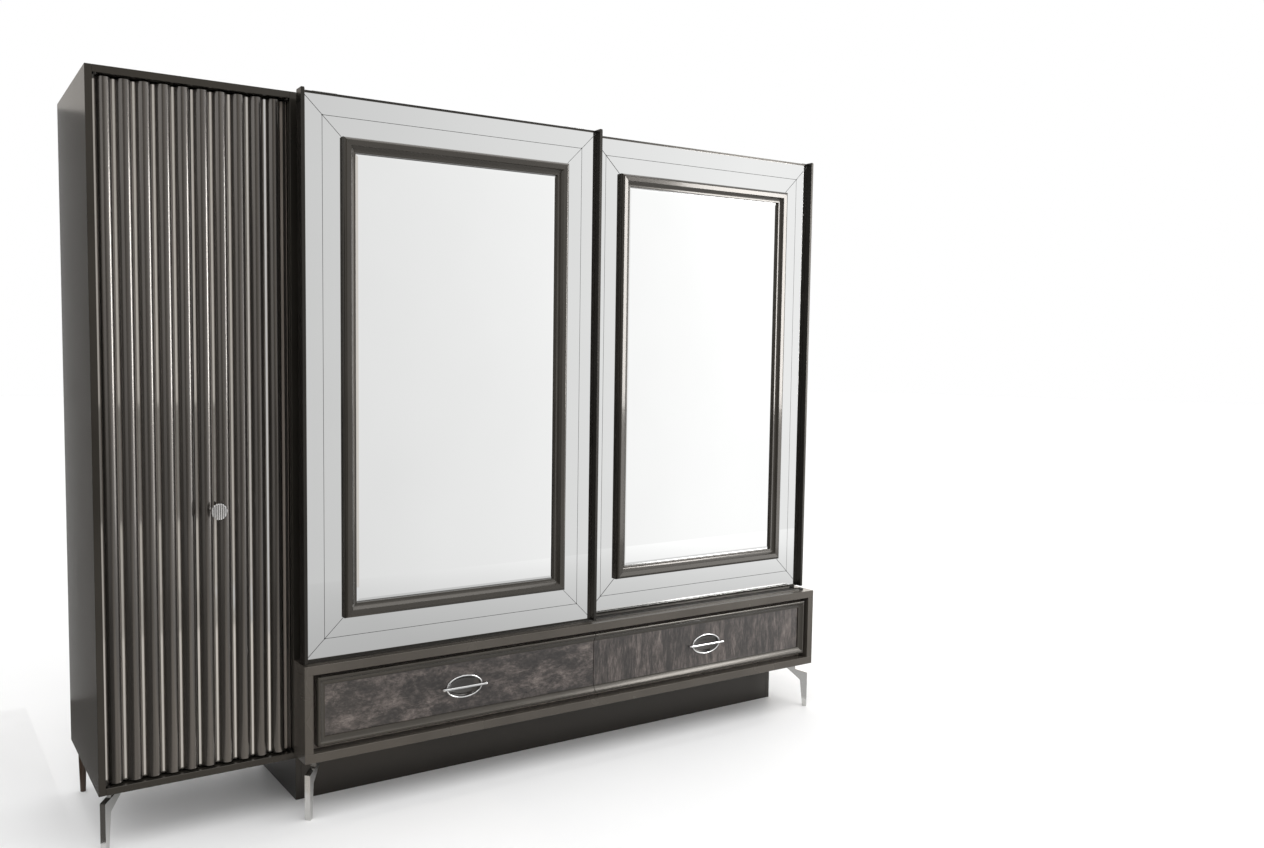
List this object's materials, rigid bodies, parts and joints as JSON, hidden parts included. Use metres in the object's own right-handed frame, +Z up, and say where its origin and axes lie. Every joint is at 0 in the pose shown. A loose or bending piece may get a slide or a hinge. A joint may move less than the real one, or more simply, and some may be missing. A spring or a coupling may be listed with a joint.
{
  "type": "armoire",
  "caption": "Wide wardrobe with a fluted hinged-door cabinet, sliding mirror doors, a drawer box with framed veneered fronts, chrome legs and a recessed plinth.",
  "frame": {"origin": "middle of the footprint's bounding box, on the floor", "axes": "+X along the length towards the sliding-door end, +Y from the front to the back, +Z up; the front faces -Y"},
  "size_m": [2.78, 0.586, 2.2],
  "materials": {
    "carcass_lacquer": "gloss lacquer",
    "box_lacquer": "satin lacquer",
    "inner_board": "matt",
    "flute_lacquer": "gloss metallic lacquer",
    "moulding_lacquer": "gloss metallic lacquer",
    "burl_veneer": "polished veneer",
    "plinth_board": "satin",
    "dark_wood": "satin",
    "graphite_frame": "dark anodised",
    "track_aluminium": "satin",
    "steel": "brushed",
    "chrome": "polished",
    "mirror": "silvered",
    "roller_plastic": "matt"
  },
  "bodies": {
    "carcass": {"side_cabinet_left_side": "carcass_lacquer", "side_cabinet_right_side": "carcass_lacquer", "side_cabinet_top": "carcass_lacquer", "side_cabinet_bottom": "carcass_lacquer", "side_cabinet_back": "inner_board", "side_cabinet_shelves": "inner_board", "hinge_cabinet_leaves": "steel", "main_left_side": "carcass_lacquer", "main_right_side": "carcass_lacquer", "main_top": "carcass_lacquer", "main_back": "inner_board", "main_partition": "inner_board", "main_shelves": "inner_board", "hanging_rails": "steel", "bottom_track": "track_aluminium", "top_track": "track_aluminium", "drawer_box_top": "box_lacquer", "drawer_box_bottom": "box_lacquer", "drawer_box_sides": "box_lacquer", "drawer_box_divider": "inner_board", "drawer_box_fillers": "inner_board", "drawer_fixed_runners": "steel", "plinth": "plinth_board", "chrome_legs": "chrome", "rear_legs": "dark_wood"},
    "left_hinged_door": {"left_hinged_door_panel": "inner_board", "left_hinged_door_flutes": "flute_lacquer", "left_hinged_door_strips": "chrome", "left_hinged_door_hinge_leaves": "steel"},
    "right_hinged_door": {"right_hinged_door_panel": "inner_board", "right_hinged_door_flutes": "flute_lacquer", "right_hinged_door_strips": "chrome", "right_hinged_door_hinge_leaves": "steel", "door_knob": "chrome"},
    "left_sliding_door": {"left_sliding_door_core": "inner_board", "left_sliding_door_edge_frame": "graphite_frame", "left_sliding_door_mirror_border": "mirror", "left_sliding_door_moulding": "moulding_lacquer", "left_sliding_door_centre_mirror": "mirror", "left_sliding_door_running_gear": "steel"},
    "left_sliding_door_roller_1": {"left_sliding_door_roller_1": "roller_plastic"},
    "left_sliding_door_roller_2": {"left_sliding_door_roller_2": "roller_plastic"},
    "right_sliding_door": {"right_sliding_door_core": "inner_board", "right_sliding_door_edge_frame": "graphite_frame", "right_sliding_door_mirror_border": "mirror", "right_sliding_door_moulding": "moulding_lacquer", "right_sliding_door_centre_mirror": "mirror", "right_sliding_door_running_gear": "steel"},
    "right_sliding_door_roller_1": {"right_sliding_door_roller_1": "roller_plastic"},
    "right_sliding_door_roller_2": {"right_sliding_door_roller_2": "roller_plastic"},
    "left_drawer": {"left_drawer_front": "burl_veneer", "left_drawer_moulding": "moulding_lacquer", "left_drawer_tray": "inner_board", "left_drawer_slides": "steel", "left_drawer_handle": "chrome"},
    "right_drawer": {"right_drawer_front": "burl_veneer", "right_drawer_moulding": "moulding_lacquer", "right_drawer_tray": "inner_board", "right_drawer_slides": "steel", "right_drawer_handle": "chrome"}
  },
  "joints": [
    {"name": "left_hinged_door_swing", "type": "hinge", "parent": "carcass", "child": "left_hinged_door", "pos_m": [-1.363, -0.194, 1.1835], "axis": [0, 0, -1], "range_deg": [0, 105]},
    {"name": "right_hinged_door_swing", "type": "hinge", "parent": "carcass", "child": "right_hinged_door", "pos_m": [-0.812, -0.194, 1.1835], "axis": [0, 0, 1], "range_deg": [0, 90]},
    {"name": "left_sliding_door_slide", "type": "slide", "parent": "carcass", "child": "left_sliding_door", "axis": [1, 0, 0], "range_m": [0, 1.08]},
    {"name": "right_sliding_door_slide", "type": "slide", "parent": "carcass", "child": "right_sliding_door", "axis": [-1, 0, 0], "range_m": [0, 1.07]},
    {"name": "left_sliding_door_roller_1_spin", "type": "hinge", "parent": "left_sliding_door", "child": "left_sliding_door_roller_1", "pos_m": [-0.693, -0.2565, 0.4913], "axis": [0, 1, 0], "continuous": true},
    {"name": "left_sliding_door_roller_2_spin", "type": "hinge", "parent": "left_sliding_door", "child": "left_sliding_door_roller_2", "pos_m": [0.185, -0.2565, 0.4913], "axis": [0, 1, 0], "continuous": true},
    {"name": "right_sliding_door_roller_1_spin", "type": "hinge", "parent": "right_sliding_door", "child": "right_sliding_door_roller_1", "pos_m": [0.401, -0.2065, 0.4913], "axis": [0, 1, 0], "continuous": true},
    {"name": "right_sliding_door_roller_2_spin", "type": "hinge", "parent": "right_sliding_door", "child": "right_sliding_door_roller_2", "pos_m": [1.279, -0.2065, 0.4913], "axis": [0, 1, 0], "continuous": true},
    {"name": "left_drawer_slide", "type": "slide", "parent": "carcass", "child": "left_drawer", "axis": [0, -1, 0], "range_m": [0, 0.38]},
    {"name": "right_drawer_slide", "type": "slide", "parent": "carcass", "child": "right_drawer", "axis": [0, -1, 0], "range_m": [0, 0.38]}
  ]
}
